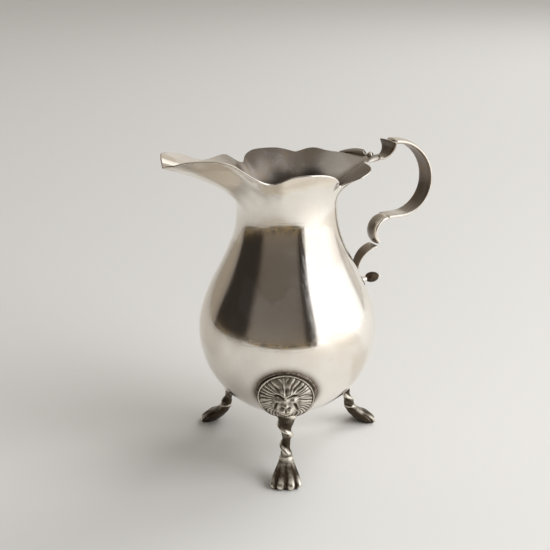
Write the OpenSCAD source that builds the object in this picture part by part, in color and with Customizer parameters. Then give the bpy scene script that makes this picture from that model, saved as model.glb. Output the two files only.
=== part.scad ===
// Silver cream jug: raised pear-shaped body with a scalloped rim, three lion-mask
// legs with twisted stems and paw feet, and a flying double-scroll handle.
// Millimetres, +Z up. The handle is towards +X and the pouring lip towards -X.

/* [Body] */
// Outer radius of the belly, whose lower half is a hemisphere
belly_r = 32; // [26.5:0.5:38.5]
// Thickness of the raised sheet
wall = 0.7; // [0.55:0.05:1.1]
// Height of the underside above the table
base_clear = 14.6; // [12:0.2:18]
// Outer radius of the neck at its narrowest
neck_r = 17.7; // [14:0.1:21.5]
// Height of the neck's narrowest ring above the widest ring
neck_rise = 43.9; // [36:0.1:53]

/* [Rim] */
// Radius of the rim at its side lobes
lobe_reach = 25.8; // [21.5:0.1:31]
// Height of the side lobes above the narrowest ring of the neck
lobe_rise = 17.4; // [14:0.1:21]
// Radius of the pouring lip's tip
spout_reach = 46.5; // [38.5:0.5:56]
// How far the pouring lip rises above the side lobes
spout_lift = 5.2; // [3:0.1:7]
// Radius of the rim where the handle springs from it
lip_reach = 37; // [30.5:0.5:44.5]
// How far a notch between two lobes is pressed in
notch_in = 3.2; // [2:0.1:4.5]
// How far a notch between two lobes dips
notch_drop = 4.4; // [2:0.1:5.5]
// Depth of the sharp pinch in the notches beside the handle
pinch = 1.3; // [0.5:0.1:2]

/* [Legs] */
// Radius of a lion mask
mask_r = 10; // [8:0.25:12]
// Height of a mask's dome above the body
mask_dome = 2.6; // [1.8:0.1:3.5]
// How far below the belly's middle a mask sits, in degrees
mask_tilt = 27; // [22:0.5:33]
// How far a mask stands up off the belly, in degrees about its upper edge
mask_lean = 10; // [8:0.5:12]
// Radius of the twisted stem
stem_r = 1.45; // [1.2:0.05:1.8]
// How far the stem's ridge stands out
stem_ridge = 0.9; // [0.5:0.05:1.1]
// Height of one turn of the stem's twist
stem_pitch = 7.2; // [5:0.1:10]
// Radius of the circle that the toes reach
toe_reach = 37.8; // [31.4:0.2:45.4]
// Length of a paw
paw_length = 12; // [10:0.2:14.4]
// Width of a paw
paw_width = 11.4; // [9:0.2:13.8]
// Height of a paw up to its collar
paw_height = 8.6; // [7:0.1:10.4]

/* [Handle] */
// Width of the strap
strap_w = 7.4; // [6:0.1:9]
// Thickness of the strap
strap_t = 1.8; // [1.4:0.1:2.4]
// Width of the leaf at its top edge
leaf_w = 11; // [8:0.25:13.25]
// Radius of the leaf's curve
leaf_curve = 4.2; // [3.5:0.1:5.1]
// How far the main scroll swings out from the leaf
scroll_bulge = 14.2; // [11:0.1:17.1]
// Radius of the small scroll
small_scroll_r = 5.2; // [4.2:0.1:6.3]
// Radius of the tail scroll
tail_r = 8; // [6.6:0.1:9.6]
// Radius of the tail's curl, which touches the body
curl_r = 2.6; // [2.1:0.1:3.2]
// Height of the curl's centre above the widest ring
tail_rise = 14.8; // [12:0.1:18]
// Radius of the bud at the end of the tail
bud_r = 1.95; // [1.5:0.05:2.4]

/* [Hidden] */

silver = [0.80, 0.79, 0.77];
worn_silver = [0.62, 0.60, 0.56];
solder_grey = [0.42, 0.40, 0.37];

leg_angles = [0, -120, 120]; // under the handle, then the left and right of the person who pours

body_segments = 72;
lower_rings = 12;
upper_rings = 9;
rim_rings = 9;
base_flat = 5;     // the first ring's angle from the bottom point, which leaves a small flat
flare_power = 2.8; // how late the neck turns out into the rim, and into the pouring lip
lip_power = 2;

belly_z = base_clear + belly_r;
neck_z = belly_z + neck_rise;

// ---- The body's surface ----

function bump(x, width) = exp(-pow(x / width, 2));
function away(angle) = let (a = abs(angle) % 360) a > 180 ? 360 - a : a; // degrees from the handle

// The notches between the lobes: [angle, share of the full depth, half width in degrees, pinch].
// A hand-cut rim isn't quite even, so the two sides differ a little.
notches = [[-131, 0.75, 12, 0], [-64, 1.15, 17, 1], [54, 0.38, 11, 0.25], [106, 0.85, 10, 0]];
pinch_width = 4;
function turned(angle) = (angle + 540) % 360 - 180; // the same angle between -180 and 180
function notch(angle, spread) = [for (n = notches) 1]
    * [for (n = notches) n[1] * bump(turned(angle - n[0]), n[2] * spread)];
function pinching(angle) = [for (n = notches) 1]
    * [for (n = notches) n[3] * exp(-abs(turned(angle - n[0])) / pinch_width)];

// The pouring lip's left corner is bent down, and its edge stands higher behind that.
function warp(angle) = let (b = 180 - away(angle), left = turned(angle) < 0)
    (left ? 1 : -1) * 1.6 * bump(b - 24, 8) + (left ? -1.9 : 0.9) * bump(b - 4.5, 5);

function rim_reach(angle) = let (a = away(angle))
    lobe_reach - notch_in * notch(angle, 0.6) - pinch * pinching(angle)
    + (spout_reach - lobe_reach) * bump(180 - a, 22)
    + (lip_reach - lobe_reach) * bump(a, 16)
    + 4 * bump(a - 46, 14);       // the handle's lobe is full on both sides
function rim_rise(angle) = let (a = away(angle), b = 180 - a)
    lobe_rise - notch_drop * notch(angle, 1) - pinch * pinching(angle)
    + spout_lift * exp(-pow(b / 26, 4)) - 2 * bump(b, 2.5) + warp(angle)
    - 2.4 * bump(a, 42) - 1.4 * bump(a, 10)  // the handle's lobe sits lower
    - 1.3 * bump(turned(angle) - 85, 55);    // and so does the right side

// Profile of the belly up to the neck: half a cosine wave.
function belly_profile(z) =
    (belly_r + neck_r) / 2 + (belly_r - neck_r) / 2 * cos(180 * (z - belly_z) / neck_rise);

// Point of the outer surface: s runs 0..1 over the hemisphere, 1..2 up to the neck, 2..3 to the rim.
function outer(s, angle) =
    s <= 1 ? let (t = base_flat + s * (90 - base_flat))
        [belly_r * sin(t) * cos(angle), belly_r * sin(t) * sin(angle), belly_z - belly_r * cos(t)]
    : s <= 2 ? let (z = belly_z + (s - 1) * neck_rise, r = belly_profile(z))
        [r * cos(angle), r * sin(angle), z]
    : let (t = s - 2,
           power = flare_power + (lip_power - flare_power) * bump(180 - away(angle), 30),
           r = neck_r + (rim_reach(angle) - neck_r) * pow(t, power))
        [r * cos(angle), r * sin(angle), neck_z + rim_rise(angle) * t];

function unit(v) = v / norm(v);
probe = 0.002; // step of the finite differences
function outward(s, angle) =
    let (lo = s < 3 ? s : 3 - probe)
    unit(cross(outer(lo, angle + 1) - outer(lo, angle - 1),
               outer(lo + probe, angle) - outer(lo, angle)));
function inside(s, angle) = outer(s, angle) - wall * outward(s, angle);

body_steps = concat([for (i = [0:lower_rings]) i / lower_rings],
                    [for (i = [1:upper_rings]) 1 + i / upper_rings],
                    [for (i = [1:rim_rings]) 2 + i / rim_rings]);

// A closed skin over rings of points: each ring joins the next, and flat caps close both ends.
module skin(rings) {
    n = len(rings[0]);
    m = len(rings);
    polyhedron(
        points = [for (ring = rings) each ring],
        faces = concat(
            [[for (j = [n - 1:-1:0]) j]],
            [for (i = [0:m - 2], j = [0:n - 1])
                [i * n + j, (i + 1) * n + (j + 1) % n, (i + 1) * n + j]],
            [for (i = [0:m - 2], j = [0:n - 1])
                [i * n + j, i * n + (j + 1) % n, (i + 1) * n + (j + 1) % n]],
            [[for (j = [0:n - 1]) (m - 1) * n + j]]),
        convexity = 10);
}

module body_shell() {
    angles = [for (j = [0:body_segments - 1]) -j * 360 / body_segments];
    last = len(body_steps) - 1;
    color(silver) skin(concat(
        [for (s = body_steps) [for (a = angles) outer(s, a)]],
        [for (i = [last:-1:0]) [for (a = angles) inside(body_steps[i], a)]]));
}

// ---- Legs ----

// Children are drawn in a mask's own frame: +Z out of the belly through the mask's centre,
// +X up the body, and the origin at the centre of the hemisphere.
module at_mask(angle) {
    translate([0, 0, belly_z]) rotate([0, 0, angle]) rotate([0, 90 + mask_tilt, 0])
        rotate([0, 0, 180]) children();
}

// In that frame, the mask turns about its upper edge, so its lower edge stands off the belly.
module lean() {
    translate([mask_r, 0, mask_foot]) rotate([0, mask_lean, 0])
        translate([-mask_r, 0, -mask_foot]) children();
}
function leaned(p) = // the same for a point [x, z] in the mask's middle plane
    let (d = p - [mask_r, mask_foot])
    [mask_r + d[0] * cos(mask_lean) + d[1] * sin(mask_lean),
     mask_foot - d[0] * sin(mask_lean) + d[1] * cos(mask_lean)];

mask_edge = 1.1;                                // height of the mask's rim above the body
mask_spread = asin(mask_r / belly_r);           // angle that the mask covers on the belly
mask_foot = belly_r * cos(mask_spread);         // height at which the mask's edge meets the belly
mask_depth = 2 * mask_r * sin(mask_lean) + 2;   // how far its back reaches before it is fitted
mask_foot_to_top = belly_r + mask_dome - mask_foot - mask_edge;
solder_w = 0.9;
solder_t = 0.5;

module mask(angle) {
    color(worn_silver) at_mask(angle) difference() {
        lean() mask_blank();
        sphere(r = belly_r, $fn = 200);
    }
}

// The mask before its back is fitted to the belly: a disc with a dome and the face on it.
module mask_blank() {
    dome_r = (pow(mask_r - 0.8, 2) + pow(mask_foot_to_top, 2)) / (2 * mask_foot_to_top);
    translate([0, 0, mask_foot - mask_depth])
        cylinder(h = mask_depth + mask_edge, r = mask_r, $fn = 96);
    intersection() {
        translate([0, 0, belly_r + mask_dome - dome_r]) sphere(r = dome_r, $fn = 96);
        translate([0, 0, mask_foot]) cylinder(h = belly_r, r = mask_r - 0.6, $fn = 96);
    }
    lion_face();
}

// Muzzle, nose, cheeks and brows on the dome. The face is upright on the jug.
module lion_face() {
    top = belly_r + mask_dome;
    translate([-0.42 * mask_r, 0, top - 0.9]) sphere(r = 0.28 * mask_r, $fn = 48);
    translate([-0.16 * mask_r, 0, top - 0.3]) sphere(r = 0.13 * mask_r, $fn = 32);
    for (side = [-1, 1]) {
        translate([0.12 * mask_r, side * 0.30 * mask_r, top - 1.1])
            sphere(r = 0.19 * mask_r, $fn = 32);
        translate([-0.28 * mask_r, side * 0.33 * mask_r, top - 1.4])
            sphere(r = 0.2 * mask_r, $fn = 32);
    }
}

module mask_solder(angle) {
    color(solder_grey) at_mask(angle) difference() {
        intersection() {
            sphere(r = belly_r + solder_t, $fn = 200);
            lean() translate([0, 0, mask_foot - mask_depth])
                cylinder(h = 2 * mask_depth, r = mask_r + solder_w, $fn = 96);
        }
        lean() translate([0, 0, mask_foot - mask_depth - 1])
            cylinder(h = 2 * mask_depth + 2, r = mask_r, $fn = 96);
        sphere(r = belly_r, $fn = 200);
    }
}

// A leg's stem and paw are drawn in the plane through the jug's axis and the leg.
module at_leg(angle) {
    rotate([0, 0, angle]) children();
}

paw_back = toe_reach - paw_length;
ankle_r = paw_back + 1.65;        // distance of the ankle from the jug's axis
chin_on_mask = leaned([-0.8 * mask_r, mask_foot + mask_edge]);
chin = [chin_on_mask[1] * cos(mask_tilt) + chin_on_mask[0] * sin(mask_tilt),
        belly_z - chin_on_mask[1] * sin(mask_tilt) + chin_on_mask[0] * cos(mask_tilt)];
stem_sides = 16;
stem_rings = 30;

// The stem's axis runs from inside the mask's chin to the paw's collar, bowed a little inwards.
stem_top = chin + [-2.2, 1.2];
stem_end = [ankle_r, paw_height];
collar_twist = 75; // where the ridge stands at the collar
function stem_axis(t) =
    let (p = stem_top * (1 - t) + stem_end * t) [p[0] - 0.9 * sin(180 * t), p[1]];
function stem_width(t) = stem_r * (1 + 1.25 * bump(t - 0.12, 0.3) + 0.35 * bump(t - 0.96, 0.07));
function twist(t) = collar_twist - 360 * (stem_top[1] - stem_end[1]) * (1 - t) / stem_pitch;

module stem(angle) {
    color(worn_silver) at_leg(angle) difference() {
        skin([for (i = [0:stem_rings]) let (t = i / stem_rings, c = stem_axis(t),
              hold = min(1, 6 * t, 6 * (1 - t)))
            [for (j = [0:stem_sides - 1]) let (a = j * 360 / stem_sides,
                  r = stem_width(t) + stem_ridge * hold * pow(max(0, cos(a - twist(t))), 2))
                [c[0] + r * cos(a), r * sin(a), c[1]]]]);
        translate([0, 0, belly_z]) sphere(r = belly_r, $fn = 200);
        at_mask(0) lean() mask_blank();
    }
}

// Rings of the paw: [share of its height, front and back as shares of its length, share of its width].
paw_rings = [[0, 0.95, 0.52, 0.86], [0.09, 1, 0.46, 0.96], [0.18, 1, 0.38, 1], [0.3, 0.96, 0.28, 0.97],
             [0.42, 0.86, 0.21, 0.88], [0.52, 0.74, 0.14, 0.77], [0.62, 0.61, 0.09, 0.66],
             [0.72, 0.5, 0.05, 0.56], [0.84, 0.38, 0.01, 0.44], [1, 0.3, -0.02, 0.36]];
paw_sides = 48;
egg = 0.25;        // how much wider a ring is in front than behind
groove_depth = 0.16;
function toe_groove(a) = // three grooves between four toes, and one behind each outer toe
    max([for (g = [[0, 1], [36, 0.8], [-36, 0.8], [78, 0.5], [-78, 0.5]]) g[1] * bump(a - g[0], 8)]);

module paw(angle) {
    color(worn_silver) at_leg(angle) skin([for (i = [len(paw_rings) - 1:-1:0])
        let (ring = paw_rings[i],
             z = ring[0] * paw_height,
             front = paw_back + paw_length * ring[1],
             back = paw_back + paw_length * ring[2],
             centre = (front + back) / 2,
             half_l = (front - back) / 2,
             half_w = paw_width / 2 * ring[3],
             spread = 1 - pow(ring[0], 3))
        [for (j = [0:paw_sides - 1])
            let (a = j * 360 / paw_sides, turn = a > 180 ? a - 360 : a,
                 k = 1 - groove_depth * spread * toe_groove(turn),
                 w = half_w * (1 + egg * spread * (cos(a) - 0.3)))
            [centre + half_l * k * cos(a), w * k * sin(a), z]]]);
}

// ---- Handle ----

function arc(centre, r, from, to, n) =
    [for (i = [0:n]) let (a = from + (to - from) * i / n) centre + r * [cos(a), sin(a)]];

// A strap along a path in the XZ plane: flat on one side and rounded on the other.
// sizes gives [width, thickness] at each point, and side is the rounded side, 1 or -1.
section_steps = 5;
module strap(path, sizes, side) {
    last = len(path) - 1;
    skin([for (i = [0:last])
        let (ahead = path[min(i + 1, last)] - path[max(i - 1, 0)],
             d = ahead / norm(ahead),
             n = side * [-d[1], d[0]],
             w = sizes[i][0], t = sizes[i][1],
             outline = concat(
                [for (k = [0:section_steps]) let (a = 180 * k / section_steps)
                    [-w / 2 * cos(a), t * (0.62 * sin(a) - 0.1)]],
                [[w / 2 * 0.9, -0.5 * t], [-w / 2 * 0.9, -0.5 * t]]),
             ring = [for (q = outline) [path[i][0] + n[0] * q[1], q[0], path[i][1] + n[1] * q[1]]])
        side > 0 ? ring : [for (k = [len(ring) - 1:-1:0]) ring[k]]]);
}
function even(n, w0, w1, t0, t1) =
    [for (i = [0:n]) [w0 + (w1 - w0) * i / n, t0 + (t1 - t0) * i / n]];

// Tail scroll: a wide arc that tightens into the curl, touches the belly and ends in the bud.
tail_contact = 203; // the angle on the curl at which it meets the belly
tail_join = 200;    // the angle at which the wide arc passes into the curl
tail_w = 0.82 * strap_w;
tail_t = 0.85 * strap_t;
curl_z = belly_z + tail_rise;
contact_z = curl_z + (curl_r + tail_t / 2) * sin(tail_contact);
contact_slope = (belly_profile(contact_z + 0.1) - belly_profile(contact_z - 0.1)) / 0.2;
seat_gap = 0.15;    // filled by the solder
curl_x = belly_profile(contact_z) + seat_gap * sqrt(1 + pow(contact_slope, 2))
    - (curl_r + tail_t / 2) * cos(tail_contact);
curl_centre = [curl_x, curl_z];
tail_centre = curl_centre - (tail_r - curl_r) * [cos(tail_join), sin(tail_join)];
tail_path = concat(arc(tail_centre, tail_r, 88, tail_join, 16),
                   [for (i = [1:8]) curl_centre + curl_r
                       * [cos(tail_join + 10 * i), sin(tail_join + 10 * i)]],
                   [curl_centre + [1.9, -curl_r + 0.15]]);
tail_steps = len(tail_path) - 1;

// Small scroll: it springs from the tail's start and ends level under the main scroll.
small_from = 235;
small_start = tail_path[0] + [0.6, strap_t * 0.7];
small_centre = small_start - small_scroll_r * [cos(small_from), sin(small_from)];
small_steps = 14;
small_path = arc(small_centre, small_scroll_r, small_from, 90, small_steps);

// Thumb leaf: it springs from the rim, turns upright and widens to its top edge.
root = [lip_reach - 0.8, neck_z + rim_rise(0) + 0.3];
leaf_centre = root + [2, leaf_curve];
leaf_height = 1.9; // straight part above the curve
leaf_steps = 10;
leaf_path = concat([root], arc(leaf_centre, leaf_curve, -90, 0, leaf_steps),
                   [leaf_centre + [leaf_curve, leaf_height / 2],
                    leaf_centre + [leaf_curve - 0.2, leaf_height]]);
leaf_root_w = 3.4;

// Main scroll: from the back of the leaf, out and round to the small scroll. It is an ellipse,
// fuller below than above.
scroll_from = 100;
scroll_top = leaf_centre[1] + leaf_height - 0.3;
scroll_bottom = small_path[small_steps][1];
scroll_half = (scroll_top - scroll_bottom) / 2;
scroll_z = (scroll_top + scroll_bottom) / 2;
// Its centre line leads from the leaf's back to a short level run before the small scroll.
scroll_top_x = leaf_centre[0] + leaf_curve + 0.5 - scroll_bulge * cos(scroll_from);
scroll_bottom_x = small_path[small_steps][0] + 0.3 * scroll_bulge;
fullness = 0.05;
main_steps = 34;
main_path = concat(
    [for (i = [0:main_steps - 1])
        let (h = i / (main_steps - 1), a = scroll_from - (scroll_from + 90) * h,
             k = 1 - fullness * sin(2 * a),
             x = scroll_top_x + (scroll_bottom_x - scroll_top_x) * (1 - cos(180 * h)) / 2)
        [x, scroll_z] + k * [scroll_bulge * cos(a), scroll_half * sin(a)]],
    [small_path[small_steps]]);
handle_out = max([for (p = main_path) p[0]]) + strap_t * 0.52;

module thumb_leaf() {
    n = len(leaf_path) - 1;
    color(silver) strap(leaf_path,
        [for (i = [0:n]) let (h = i / n)
            [leaf_root_w + (leaf_w - leaf_root_w) * pow(h, 1.6), strap_t * (0.95 - 0.25 * h)]], -1);
}

// Rolled shoulders of the rim on both sides of the root, thin where they leave the rim.
shoulder_from = 2.5;
shoulder_to = 19;
shoulder_steps = 12;
shoulder_r = 1.15;
module rim_shoulder(side) {
    color(silver) skin([for (i = [0:shoulder_steps])
        let (h = i / shoulder_steps,
             a = shoulder_from + (shoulder_to - shoulder_from) * h,
             p = outer(3, a),
             ahead = unit(outer(3, a + 1) - outer(3, a - 1)),
             up = unit([0, 0, 1] - ahead[2] * ahead),
             out = cross(ahead, up),
             r = shoulder_r * (0.25 + 0.95 * sin(180 * (0.12 + 0.8 * pow(1 - h, 1.5)))),
             c = p + up * (r * 0.75))
        [for (j = [0:11]) let (b = -side * j * 30, q = c + r * (cos(b) * up + sin(b) * out))
            [q[0], side * q[1], q[2]]]]);
}

module main_scroll() {
    color(silver) strap(main_path, [for (i = [0:main_steps]) let (h = i / main_steps)
        [strap_w * (0.86 + 0.14 * sin(180 * h)), strap_t]], 1);
}
module small_scroll() {
    color(silver) strap(small_path, even(small_steps, tail_w, 0.86 * strap_w, tail_t, strap_t), 1);
}
module tail_scroll() {
    color(silver) strap(tail_path, even(tail_steps, tail_w, 0.3 * strap_w, tail_t, tail_t), 1);
}

// Solder under the tail scroll: a small lens between the strap and the belly.
module tail_solder() {
    seat = [belly_profile(contact_z), contact_z];
    lean = atan(contact_slope);
    color(solder_grey) translate([seat[0], 0, seat[1]]) rotate([0, lean, 0])
        rotate([0, 90, 0]) cylinder(h = seat_gap + 0.1, r = 1.7, $fn = 48);
}

bud_start = tail_path[tail_steps];
bud_length = 5.4;
module bud() {
    color(worn_silver) translate([bud_start[0] - 0.4, 0, bud_start[1]]) rotate([0, 90, 0])
        rotate_extrude($fn = 48) polygon(concat([[0, 0]],
            [for (i = [0:10]) let (a = 18 * i)
                [0.35 + (bud_r - 0.35) * sin(a), bud_length * (1 - cos(a)) / 2]],
            [[0, bud_length]]));
}
module bud_tip() {
    color(silver) translate([bud_start[0] - 0.4 + bud_length + 0.45, 0, bud_start[1]])
        sphere(r = 0.75, $fn = 32);
}

// The jug stands with the middle of its footprint at the origin.
axis_x = (spout_reach - handle_out) / 2;
module placed() { translate([axis_x, 0, 0]) children(); }

placed() body_shell();
placed() mask(leg_angles[0]);  // mask_handle
placed() mask(leg_angles[1]);  // mask_left
placed() mask(leg_angles[2]);  // mask_right
placed() mask_solder(leg_angles[0]);  // mask_solder_handle
placed() mask_solder(leg_angles[1]);  // mask_solder_left
placed() mask_solder(leg_angles[2]);  // mask_solder_right
placed() stem(leg_angles[0]);  // stem_handle
placed() stem(leg_angles[1]);  // stem_left
placed() stem(leg_angles[2]);  // stem_right
placed() paw(leg_angles[0]);  // paw_handle
placed() paw(leg_angles[1]);  // paw_left
placed() paw(leg_angles[2]);  // paw_right
placed() thumb_leaf();
placed() rim_shoulder(-1);  // rim_shoulder_left
placed() rim_shoulder(1);  // rim_shoulder_right
placed() main_scroll();
placed() small_scroll();
placed() tail_scroll();
placed() tail_solder();
placed() bud();
placed() bud_tip();
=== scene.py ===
"""Silver cream jug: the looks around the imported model, in metres and in the model's own frame."""

import math

import bpy
import numpy as np
from mathutils import Matrix, Vector


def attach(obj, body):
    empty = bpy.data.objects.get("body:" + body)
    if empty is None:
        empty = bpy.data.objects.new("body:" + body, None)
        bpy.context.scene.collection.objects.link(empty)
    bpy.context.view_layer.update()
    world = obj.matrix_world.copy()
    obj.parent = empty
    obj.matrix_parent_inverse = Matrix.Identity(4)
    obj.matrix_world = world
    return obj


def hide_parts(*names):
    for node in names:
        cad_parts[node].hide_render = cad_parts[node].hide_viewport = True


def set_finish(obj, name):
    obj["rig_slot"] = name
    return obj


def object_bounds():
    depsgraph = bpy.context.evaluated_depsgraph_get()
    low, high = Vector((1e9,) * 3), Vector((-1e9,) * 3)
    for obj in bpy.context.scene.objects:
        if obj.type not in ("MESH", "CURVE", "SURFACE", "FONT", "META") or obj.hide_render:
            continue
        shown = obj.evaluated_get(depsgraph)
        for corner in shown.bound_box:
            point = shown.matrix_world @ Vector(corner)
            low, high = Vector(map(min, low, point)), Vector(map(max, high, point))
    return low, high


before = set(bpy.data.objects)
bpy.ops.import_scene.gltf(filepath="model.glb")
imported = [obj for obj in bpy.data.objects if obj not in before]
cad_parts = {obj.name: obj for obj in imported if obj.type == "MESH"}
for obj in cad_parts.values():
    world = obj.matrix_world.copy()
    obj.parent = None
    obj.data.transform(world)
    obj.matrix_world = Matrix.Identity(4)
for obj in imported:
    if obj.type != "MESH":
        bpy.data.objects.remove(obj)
cad_low, cad_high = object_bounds()

# ---- Sizes in millimetres, as in the part's source, with the jug's axis at x = 0 ----

# The body: belly, sheet, room under the belly, neck.
BELLY_R, WALL, BASE_CLEAR, NECK_R, NECK_RISE = 32.0, 0.7, 14.6, 17.7, 43.9
# The rim: its lobes, the pouring lip, the lobe under the handle, and the notches between them.
LOBE_REACH, LOBE_RISE, SPOUT_REACH, SPOUT_LIFT, LIP_REACH = 25.8, 17.4, 46.5, 5.2, 37.0
NOTCH_IN, NOTCH_DROP, PINCH = 3.2, 4.4, 1.3
# The lion masks, the stems and the paws.
MASK_R, MASK_DOME, MASK_TILT, MASK_LEAN = 10.0, 2.6, 27.0, 10.0
STEM_R, STEM_RIDGE, STEM_PITCH = 1.45, 0.9, 7.2
TOE_REACH, PAW_LENGTH, PAW_WIDTH, PAW_HEIGHT = 37.8, 12.0, 11.4, 8.6
# The handle: strap, thumb leaf, scrolls and bud.
STRAP_W, STRAP_T, LEAF_W, LEAF_CURVE = 7.4, 1.8, 11.0, 4.2
SCROLL_BULGE, SMALL_SCROLL_R, TAIL_R, CURL_R, TAIL_RISE, BUD_R = 14.2, 5.2, 8.0, 2.6, 14.8, 1.95
BELLY_Z = BASE_CLEAR + BELLY_R
NECK_Z = BELLY_Z + NECK_RISE
# Degrees about the jug's axis, from the handle.
LEGS = {"handle": 0.0, "left": -120.0, "right": 120.0}
# Metres in a millimetre.
MM = 0.001


def rad(degrees):
    """Degrees as radians."""
    return np.radians(degrees)


def bump(x, width):
    """A smooth hump: exp of minus the square of x over width."""
    return np.exp(-((x / width) ** 2))


def folded(angle):
    """The same angle between -180 and 180 degrees."""
    return (np.asarray(angle, float) + 540) % 360 - 180


# ---- The viewer: angles in degrees, distances in metres ----

VIEW_ANGLE, VIEW_RISE, VIEW_DISTANCE = -118.5, 19.1, 0.37648
AIM_RIGHT, AIM_HEIGHT, VIEW_ROLL = -0.00433, 0.0659, -0.289
ca, sa = math.cos(math.radians(VIEW_ANGLE)), math.sin(math.radians(VIEW_ANGLE))
ce, se = math.cos(math.radians(VIEW_RISE)), math.sin(math.radians(VIEW_RISE))
toward = Vector((ca, sa, 0))
rightward = Vector((-sa, ca, 0))
back = Vector((ca * ce, sa * ce, se))

# ---- Meshes ----

# Where the jug's axis is, in millimetres: the lip's tip is the frame's lowest x.
AXIS_X = cad_low.x * 1000 + SPOUT_REACH


def fan(ring, centre, turn):
    """Triangles from a ring of point numbers to one centre point."""
    after = np.roll(ring, -1)
    rows = [ring, after] if turn else [after, ring]
    return np.stack([*rows, np.full_like(ring, centre)], 1)


def tube_mesh(points, joined=False):
    """A closed skin over rings of points, an array of rings by points by 3, in millimetres.
    Each ring joins the next one. The end rings get caps, or the last ring joins the first."""
    m, n = points.shape[:2]
    number = np.arange(m * n).reshape(m, n)
    if joined:
        number = np.vstack([number, number[:1]])
    a, b = number[:-1], number[1:]
    quads = np.stack([a, np.roll(a, -1, 1), np.roll(b, -1, 1), b], 2).reshape(-1, 4)
    co = points.reshape(-1, 3)
    faces = quads.tolist()
    if not joined:
        co = np.vstack([co, points[0].mean(0), points[-1].mean(0)])
        faces += fan(number[0], m * n, False).tolist()
        faces += fan(number[-1], m * n + 1, True).tolist()
    return co, faces


def outward_volume(co, faces):
    """Six times the volume, which is negative where the faces point inwards."""
    total = 0.0
    for size in (3, 4):
        f = np.array([x for x in faces if len(x) == size])
        for k in range(1, size - 1) if len(f) else ():
            total += np.einsum("ij,ij->i", co[f[:, 0]], np.cross(co[f[:, k]], co[f[:, k + 1]])).sum()
    return total


def build(name, parts, slot, nodes, attributes=None):
    """One piece from parts, a list of (points, faces) in millimetres about the jug's axis.
    A part whose volume comes out negative is turned inside out first."""
    everything, faces, start = [], [], 0
    for co, part_faces in parts:
        if outward_volume(co - co.mean(0), part_faces) < 0:
            part_faces = [f[::-1] for f in part_faces]
        everything.append(co)
        faces += [[i + start for i in f] for f in part_faces]
        start += len(co)
    co = (np.vstack(everything) + [AXIS_X, 0, 0]) * MM
    mesh = bpy.data.meshes.new(name)
    mesh.from_pydata(co.tolist(), [], faces)
    mesh.polygons.foreach_set("use_smooth", np.full(len(mesh.polygons), True))
    for key, values in (attributes or {}).items():
        layer = mesh.attributes.new(key, "FLOAT", "POINT")
        layer.data.foreach_set("value", np.asarray(values, np.float32))
    mesh.update()
    piece = bpy.data.objects.new(name, mesh)
    bpy.context.scene.collection.objects.link(piece)
    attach(piece, "root")
    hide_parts(*nodes)
    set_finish(piece, slot)


def turned_about(co, angle):
    """Points turned about the jug's axis by that many degrees."""
    c, s = math.cos(math.radians(angle)), math.sin(math.radians(angle))
    x, y, z = co[..., 0], co[..., 1], co[..., 2]
    return np.stack([x * c - y * s, x * s + y * c, z], -1)


# ---- The body ----

# Each notch: its angle, its depth, its half width in degrees, and the share of the sharp dip in it.
NOTCHES = ((-131, 0.75, 12, 0), (-64, 1.15, 17, 1), (54, 0.38, 11, 0.25), (106, 0.85, 10, 0))


def notch(angle, spread):
    """The sum of the four notches' humps, their half widths times spread."""
    return sum(n[1] * bump(folded(angle - n[0]), n[2] * spread) for n in NOTCHES)


def pinching(angle):
    """Sharp dips in the notches beside the handle, falling off as exp of the angle over 4 degrees."""
    return sum(n[3] * np.exp(-np.abs(folded(angle - n[0])) / 4) for n in NOTCHES)


def rim_reach(angle):
    """Radius of the rim: lobes, less the notches, plus humps for the pouring lip, for the handle's
    lobe and for the bulge on each side of that."""
    a = np.abs(folded(angle))
    return (LOBE_REACH - NOTCH_IN * notch(angle, 0.6) - PINCH * pinching(angle)
            + (SPOUT_REACH - LOBE_REACH) * bump(180 - a, 22)
            + (LIP_REACH - LOBE_REACH) * bump(a, 16) + 4 * bump(a - 46, 14))


def rim_rise(angle):
    """Height of the rim over the neck, which dips in the notches and lifts along the lip by exp of
    minus the fourth power of the angle. The warp bends the two sides of the lip differently."""
    turned = folded(angle)
    a = np.abs(turned)
    b = 180 - a
    left = turned < 0
    warp = (np.where(left, 1, -1) * 1.6 * bump(b - 24, 8)
            + np.where(left, -1.9, 0.9) * bump(b - 4.5, 5))
    lip_crease = 2 * bump(b, 2.5)
    back_dip = 2.4 * bump(a, 42)
    leaf_dip = 1.4 * bump(a, 10)
    side_dip = 1.3 * bump(turned - 85, 55)
    return (LOBE_RISE - NOTCH_DROP * notch(angle, 1) - PINCH * pinching(angle)
            + SPOUT_LIFT * np.exp(-((b / 26) ** 4)) - lip_crease + warp
            - back_dip - leaf_dip - side_dip)


def belly_profile(z):
    """Half a cosine wave from the belly's radius to the neck's."""
    mean, half = (BELLY_R + NECK_R) / 2, (BELLY_R - NECK_R) / 2
    return mean + half * np.cos(np.pi * (z - BELLY_Z) / NECK_RISE)


# The profile starts this many degrees from the bottom's middle, which a cap closes.
POLE_GAP = 0.6


def outer(s, angle):
    """The body's outside: a hemisphere for s 0 to 1, the cosine up to the neck for 1 to 2,
    and for 2 to 3 a power curve out to the rim."""
    s, angle = np.broadcast_arrays(np.asarray(s, float), np.asarray(angle, float))
    t = rad(POLE_GAP + np.clip(s, 0, 1) * (90 - POLE_GAP))
    z2 = BELLY_Z + (np.clip(s, 1, 2) - 1) * NECK_RISE
    t3 = np.clip(s, 2, 3.2) - 2
    power = 2.8 - 0.8 * bump(180 - np.abs(folded(angle)), 30)
    r3 = NECK_R + (rim_reach(angle) - NECK_R) * np.maximum(t3, 0) ** power
    r = np.where(s <= 1, BELLY_R * np.sin(t), np.where(s <= 2, belly_profile(z2), r3))
    z = np.where(s <= 1, BELLY_Z - BELLY_R * np.cos(t),
                 np.where(s <= 2, z2, NECK_Z + rim_rise(angle) * t3))
    return np.stack([r * np.cos(rad(angle)), r * np.sin(rad(angle)), z], -1)


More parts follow.
